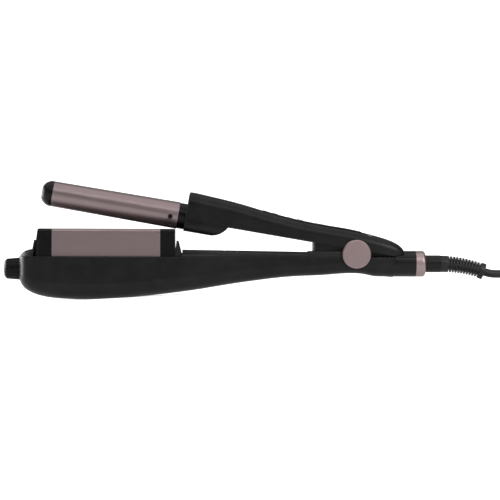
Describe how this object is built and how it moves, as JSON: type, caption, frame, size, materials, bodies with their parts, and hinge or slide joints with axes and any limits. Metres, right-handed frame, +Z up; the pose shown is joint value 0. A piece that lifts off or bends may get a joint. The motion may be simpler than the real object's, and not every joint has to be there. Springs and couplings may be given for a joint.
{
  "type": "hair styling iron",
  "caption": "Adjustable hair waver: a barrel on a sprung upper arm closes between wings raised from a boat-shaped lower arm by a dial at the tip; swivel mains cord.",
  "frame": {"origin": "centre of the flat facet under the tub, on the surface that the iron rests on", "axes": "+Z up from that surface, +X from the dial at the tip towards the cord"},
  "size_m": [0.7021, 0.0664, 0.1019],
  "materials": {
    "charcoal_plastic": "satin moulded",
    "black_plastic": "satin moulded",
    "deck_black": "half-gloss moulded",
    "gloss_black": "polished",
    "rose_coating": "tinted coating",
    "rose_trim": "metallic paint",
    "steel": "bright",
    "brass": "bright",
    "nylon": "natural",
    "ceramic_white": "fired",
    "lens": "clear smoke",
    "board_green": "lacquered",
    "switch_grey": "moulded",
    "cord_rubber": "matte"
  },
  "bodies": {
    "lower_arm": {"lower_shell": "charcoal_plastic", "nose_deck": "deck_black", "rear_deck": "deck_black", "rear_cap": "charcoal_plastic", "rear_collar": "rose_trim", "contact_block": "black_plastic", "cradle": "rose_coating", "dial_bush": "black_plastic", "front_bearing": "black_plastic", "rear_bearing": "black_plastic", "hinge_pin": "steel", "pivot_cover_near": "rose_trim", "pivot_cover_far": "rose_trim", "torsion_spring": "steel", "cord_guard": "cord_rubber", "cord": "cord_rubber", "cord_coil": "cord_rubber", "cord_tail": "cord_rubber", "coil_tie": "black_plastic", "plug": "black_plastic", "plug_pins": "brass"},
    "upper_arm": {"upper_shell": "charcoal_plastic", "belly_cover": "charcoal_plastic", "barrel_collar": "black_plastic", "barrel": "rose_coating", "barrel_tip": "black_plastic", "barrel_heater": "ceramic_white", "barrel_screw": "black_plastic", "pivot_bushes": "brass", "control_panel": "gloss_black", "display_lens": "lens", "indicator_lens": "lens", "control_board": "board_green", "tact_switches": "switch_grey"},
    "dial_knob": {"dial": "black_plastic", "lead_screw": "steel"},
    "slider": {"lift_slider": "nylon"},
    "wing_carriage": {"wing_rail_near": "nylon", "wing_rail_far": "nylon", "cross_pins": "steel", "wing_near": "rose_coating", "wing_far": "rose_coating", "wing_front_cap_near": "black_plastic", "wing_front_cap_far": "black_plastic", "wing_rear_cap_near": "black_plastic", "wing_rear_cap_far": "black_plastic", "wing_heaters": "ceramic_white"},
    "power_button": {"power_button": "gloss_black"},
    "minus_button": {"minus_button": "gloss_black"},
    "plus_button": {"plus_button": "gloss_black"},
    "swivel": {"swivel_neck": "charcoal_plastic", "slip_rings": "brass"}
  },
  "joints": [
    {"name": "arm_pivot", "type": "hinge", "parent": "lower_arm", "child": "upper_arm", "pos_m": [0.21262, 0, 0.02673], "axis": [0, 1, 0], "range_deg": [-9.6, 0], "stiffness_Nm_per_rad": 0.6, "springref_deg": 45.84, "deforming": ["torsion_spring"]},
    {"name": "dial_turn", "type": "hinge", "parent": "lower_arm", "child": "dial_knob", "pos_m": [-0.07257, 0, 0.0288], "axis": [0.9986, 0, -0.0532], "range_deg": [0, 270]},
    {"name": "slider_run", "type": "slide", "parent": "lower_arm", "child": "slider", "axis": [0.9986, 0, -0.0532], "range_m": [0, 0.018]},
    {"name": "wing_lift", "type": "slide", "parent": "lower_arm", "child": "wing_carriage", "axis": [0.0532, 0, 0.9986], "range_m": [-0.009, 0]},
    {"name": "swivel_turn", "type": "hinge", "parent": "lower_arm", "child": "swivel", "pos_m": [0.28439, 0, 0.0149], "axis": [0.9986, 0, -0.0532], "continuous": true},
    {"name": "power_press", "type": "slide", "parent": "upper_arm", "child": "power_button", "axis": [-0.2884, 0, -0.9575], "range_m": [0, 0.0008], "stiffness_N_per_m": 400},
    {"name": "minus_press", "type": "slide", "parent": "upper_arm", "child": "minus_button", "axis": [-0.2884, 0, -0.9575], "range_m": [0, 0.0008], "stiffness_N_per_m": 400},
    {"name": "plus_press", "type": "slide", "parent": "upper_arm", "child": "plus_button", "axis": [-0.2884, 0, -0.9575], "range_m": [0, 0.0008], "stiffness_N_per_m": 400}
  ],
  "couplings": [
    {"joint": "slider_run", "follows": "wing_lift", "ratio": -2},
    {"joint": "dial_turn", "follows": "wing_lift", "rad_per_m": -523.6}
  ]
}
